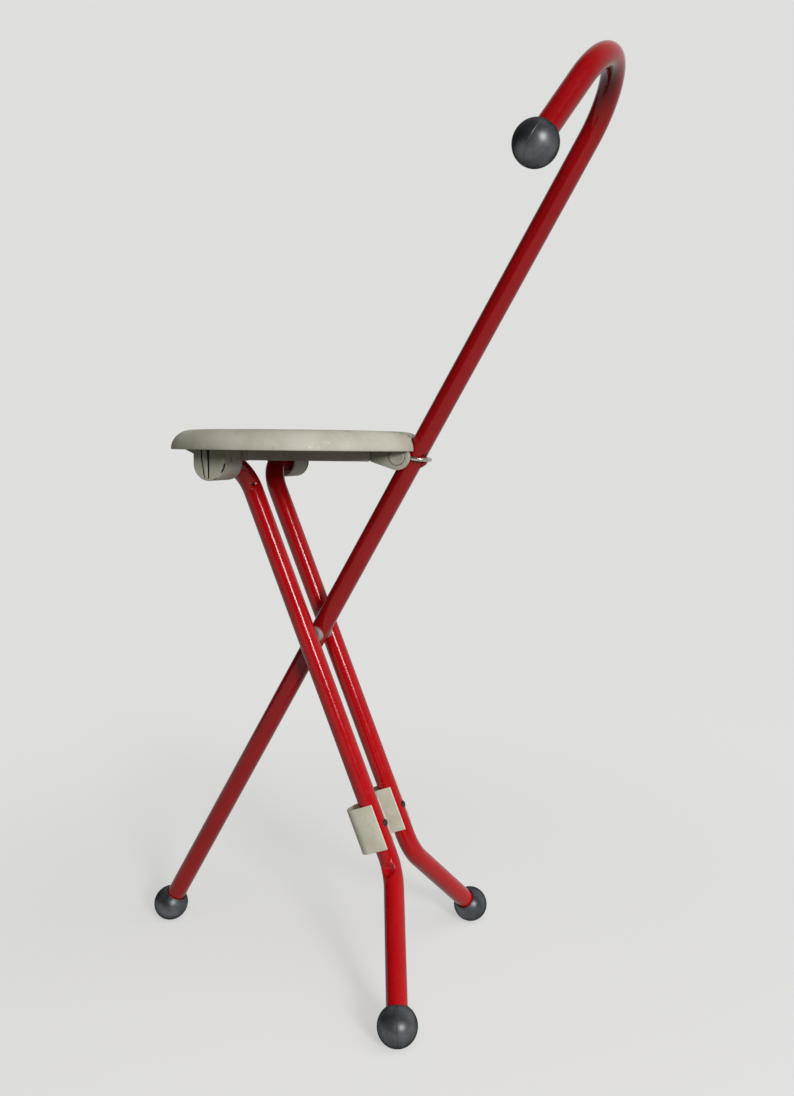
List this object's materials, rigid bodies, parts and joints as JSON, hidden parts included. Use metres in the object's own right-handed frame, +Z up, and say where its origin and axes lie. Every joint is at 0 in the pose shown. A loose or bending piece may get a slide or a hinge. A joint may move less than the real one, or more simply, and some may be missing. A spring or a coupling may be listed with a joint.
{
  "type": "folding cane stool",
  "caption": "Walking stick that folds out into a stool: a bent steel cane crosses steel legs, and a round plastic seat hinged on the legs is held to the cane by a wire bail.",
  "frame": {"origin": "middle of the bounding box at the floor, in the open position", "axes": "+Z up along the longest extent, +Y across the stool along the shortest extent and away from the handle's turned-over end, +X from the hinge side of the seat towards the cane's handle"},
  "size_m": [0.4952, 0.2776, 0.8551],
  "materials": {
    "red_paint": "glossy",
    "ball_plastic": "satin, scuffed",
    "bush_plastic": "matte",
    "bright_steel": "bright",
    "clip_plastic": "satin",
    "seat_plastic": "matte, grained and dirty",
    "dark_steel": "dull"
  },
  "bodies": {
    "cane": {"cane_tube": "red_paint", "handle_ball": "ball_plastic", "cane_foot_ball": "ball_plastic", "bail_stop": "red_paint", "pivot_bush_near": "bush_plastic", "pivot_bush_far": "bush_plastic"},
    "legs": {"pivot_pin": "bright_steel", "leg_near": "red_paint", "leg_far": "red_paint", "foot_ball_near": "ball_plastic", "foot_ball_far": "ball_plastic", "clip_near": "clip_plastic", "clip_far": "clip_plastic", "clip_screw_near": "dark_steel", "clip_screw_far": "dark_steel"},
    "seat": {"seat_shell": "seat_plastic", "hinge_housing_near": "seat_plastic", "hinge_housing_far": "seat_plastic", "hinge_bush_near": "clip_plastic", "hinge_bush_far": "clip_plastic", "hinge_cap_near": "seat_plastic", "hinge_cap_far": "seat_plastic", "housing_screws": "dark_steel", "rear_fork": "seat_plastic", "fork_plug_near": "seat_plastic", "fork_plug_far": "seat_plastic", "fork_screws": "dark_steel"},
    "bail": {"bail_wire": "bright_steel"}
  },
  "joints": [
    {"name": "fold", "type": "hinge", "parent": "cane", "child": "legs", "pos_m": [-0.04656, 0.00046, 0.34182], "axis": [0, 1, 0], "range_deg": [0, 51.85]},
    {"name": "seat_fold", "type": "hinge", "parent": "legs", "child": "seat", "pos_m": [-0.11767, 0.00046, 0.51434], "axis": [0, 1, 0], "range_deg": [-112.5, 0]},
    {"name": "bail_swing", "type": "hinge", "parent": "seat", "child": "bail", "pos_m": [0.04348, 0.00046, 0.52224], "axis": [0, 1, 0], "range_deg": [0, 60.7]}
  ],
  "couplings": [
    {"joint": "seat_fold", "follows": "fold", "ratio": -2.1678},
    {"joint": "bail_swing", "follows": "fold", "ratio": 1.1678}
  ]
}
